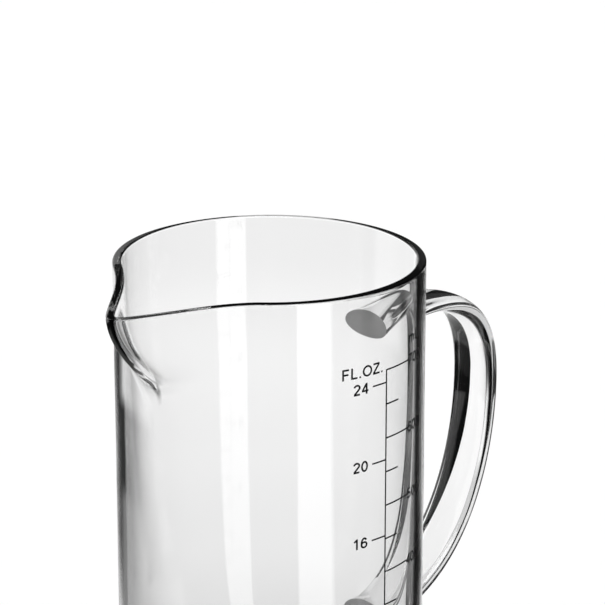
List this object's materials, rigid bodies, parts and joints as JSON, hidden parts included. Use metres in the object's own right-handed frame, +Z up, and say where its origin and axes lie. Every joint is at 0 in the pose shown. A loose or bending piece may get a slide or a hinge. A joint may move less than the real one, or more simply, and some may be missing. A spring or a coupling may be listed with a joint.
{
  "type": "measuring jug",
  "caption": "Straight-sided clear glass measuring jug with a pulled pouring lip, a fused strap handle and a printed scale in millilitres and fluid ounces.",
  "frame": {"origin": "the jug's axis on the plane that it stands on, at the middle of the base's standing ring", "axes": "+Z up along the jug's axis; the pouring lip points along -X, the handle along +X and the scale faces -Y"},
  "size_m": [0.1526, 0.0861, 0.162],
  "materials": {
    "body_glass": "clear, fire-polished",
    "handle_glass": "clear, flame-worked",
    "scale_enamel": "fired black enamel"
  },
  "bodies": {
    "root": {"jug_body": "body_glass", "handle": "handle_glass", "scale_line": "scale_enamel", "ml_long_marks": "scale_enamel", "ml_short_marks": "scale_enamel", "fl_oz_marks": "scale_enamel"}
  },
  "joints": []
}
